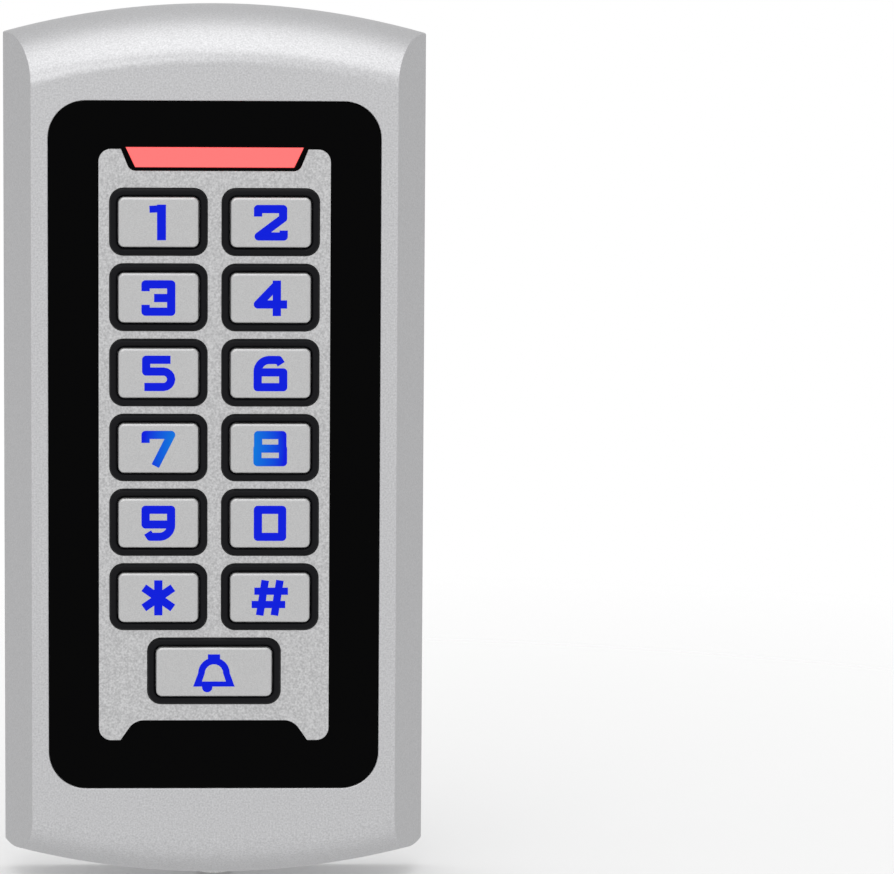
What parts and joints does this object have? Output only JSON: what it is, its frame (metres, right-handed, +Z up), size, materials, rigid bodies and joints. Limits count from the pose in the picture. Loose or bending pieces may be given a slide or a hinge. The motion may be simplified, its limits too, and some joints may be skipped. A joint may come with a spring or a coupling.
{
  "type": "keypad access reader",
  "caption": "Slim wall-mounted access reader with sprung number keys, a bell key, a status light bar and a steel wall plate.",
  "frame": {"origin": "middle of the cable hole, on the face that goes against the wall", "axes": "+Z up the wall, +Y into the wall, the keys face -Y, +X to the right as the keys are read"},
  "size_m": [0.07, 0.025, 0.145],
  "materials": {
    "shell_silver": "fine metallic powder coat",
    "panel_black": "polished black",
    "plate_silver": "fine metallic powder coat with bright cut edges",
    "lens_red": "translucent, lit from behind",
    "guide_rubber": "satin",
    "mat_silicone": "milky translucent",
    "cap_silver": "satin metallic",
    "legend_blue": "translucent blue, lit from behind",
    "coil_copper": "enamelled copper wire",
    "board_green": "solder mask",
    "contact_carbon": "carbon print",
    "led_clear": "clear",
    "chip_black": "moulded epoxy",
    "relay_blue": "moulded",
    "cover_black": "fine texture",
    "can_aluminium": "satin",
    "header_nylon": "moulded",
    "pin_gold": "plated",
    "sensor_ceramic": "glazed",
    "screw_steel": "zinc plated",
    "gasket_rubber": "matt",
    "wall_steel": "fine metallic powder coat",
    "label_film": "satin printed film"
  },
  "bodies": {
    "reader": {"front_shell": "shell_silver", "black_bezel": "panel_black", "key_plate": "plate_silver", "light_bar": "lens_red", "key_guide": "guide_rubber", "keypad_mat": "mat_silicone", "antenna_coil": "coil_copper", "circuit_board": "board_green", "key_contacts": "contact_carbon", "backlight_leds": "led_clear", "status_leds": "led_clear", "microcontroller": "chip_black", "reader_chip": "chip_black", "relay": "relay_blue", "buzzer": "cover_black", "capacitor": "can_aluminium", "wire_header": "header_nylon", "header_pins": "pin_gold", "tamper_sensor": "sensor_ceramic", "board_screws": "screw_steel", "inner_cover": "cover_black", "cable_eyelet": "pin_gold", "cover_screws": "screw_steel", "rear_gasket": "gasket_rubber", "back_plate": "wall_steel", "rear_label": "label_film", "security_screw": "screw_steel"},
    "button_1": {"key_1": "cap_silver", "legend_1": "legend_blue"},
    "button_2": {"key_2": "cap_silver", "legend_2": "legend_blue"},
    "button_3": {"key_3": "cap_silver", "legend_3": "legend_blue"},
    "button_4": {"key_4": "cap_silver", "legend_4": "legend_blue"},
    "button_5": {"key_5": "cap_silver", "legend_5": "legend_blue"},
    "button_6": {"key_6": "cap_silver", "legend_6": "legend_blue"},
    "button_7": {"key_7": "cap_silver", "legend_7": "legend_blue"},
    "button_8": {"key_8": "cap_silver", "legend_8": "legend_blue"},
    "button_9": {"key_9": "cap_silver", "legend_9": "legend_blue"},
    "button_0": {"key_0": "cap_silver", "legend_0": "legend_blue"},
    "button_star": {"key_star": "cap_silver", "legend_star": "legend_blue"},
    "button_hash": {"key_hash": "cap_silver", "legend_hash": "legend_blue"},
    "button_bell": {"key_bell": "cap_silver", "legend_bell": "legend_blue"}
  },
  "joints": [
    {"name": "press_1", "type": "slide", "parent": "reader", "child": "button_1", "axis": [0, 1, 0], "range_m": [0, 0.0006], "stiffness_N_per_m": 1500, "springref_m": -0.0004},
    {"name": "press_2", "type": "slide", "parent": "reader", "child": "button_2", "axis": [0, 1, 0], "range_m": [0, 0.0006], "stiffness_N_per_m": 1500, "springref_m": -0.0004},
    {"name": "press_3", "type": "slide", "parent": "reader", "child": "button_3", "axis": [0, 1, 0], "range_m": [0, 0.0006], "stiffness_N_per_m": 1500, "springref_m": -0.0004},
    {"name": "press_4", "type": "slide", "parent": "reader", "child": "button_4", "axis": [0, 1, 0], "range_m": [0, 0.0006], "stiffness_N_per_m": 1500, "springref_m": -0.0004},
    {"name": "press_5", "type": "slide", "parent": "reader", "child": "button_5", "axis": [0, 1, 0], "range_m": [0, 0.0006], "stiffness_N_per_m": 1500, "springref_m": -0.0004},
    {"name": "press_6", "type": "slide", "parent": "reader", "child": "button_6", "axis": [0, 1, 0], "range_m": [0, 0.0006], "stiffness_N_per_m": 1500, "springref_m": -0.0004},
    {"name": "press_7", "type": "slide", "parent": "reader", "child": "button_7", "axis": [0, 1, 0], "range_m": [0, 0.0006], "stiffness_N_per_m": 1500, "springref_m": -0.0004},
    {"name": "press_8", "type": "slide", "parent": "reader", "child": "button_8", "axis": [0, 1, 0], "range_m": [0, 0.0006], "stiffness_N_per_m": 1500, "springref_m": -0.0004},
    {"name": "press_9", "type": "slide", "parent": "reader", "child": "button_9", "axis": [0, 1, 0], "range_m": [0, 0.0006], "stiffness_N_per_m": 1500, "springref_m": -0.0004},
    {"name": "press_0", "type": "slide", "parent": "reader", "child": "button_0", "axis": [0, 1, 0], "range_m": [0, 0.0006], "stiffness_N_per_m": 1500, "springref_m": -0.0004},
    {"name": "press_star", "type": "slide", "parent": "reader", "child": "button_star", "axis": [0, 1, 0], "range_m": [0, 0.0006], "stiffness_N_per_m": 1500, "springref_m": -0.0004},
    {"name": "press_hash", "type": "slide", "parent": "reader", "child": "button_hash", "axis": [0, 1, 0], "range_m": [0, 0.0006], "stiffness_N_per_m": 1500, "springref_m": -0.0004},
    {"name": "press_bell", "type": "slide", "parent": "reader", "child": "button_bell", "axis": [0, 1, 0], "range_m": [0, 0.0006], "stiffness_N_per_m": 1500, "springref_m": -0.0004}
  ]
}
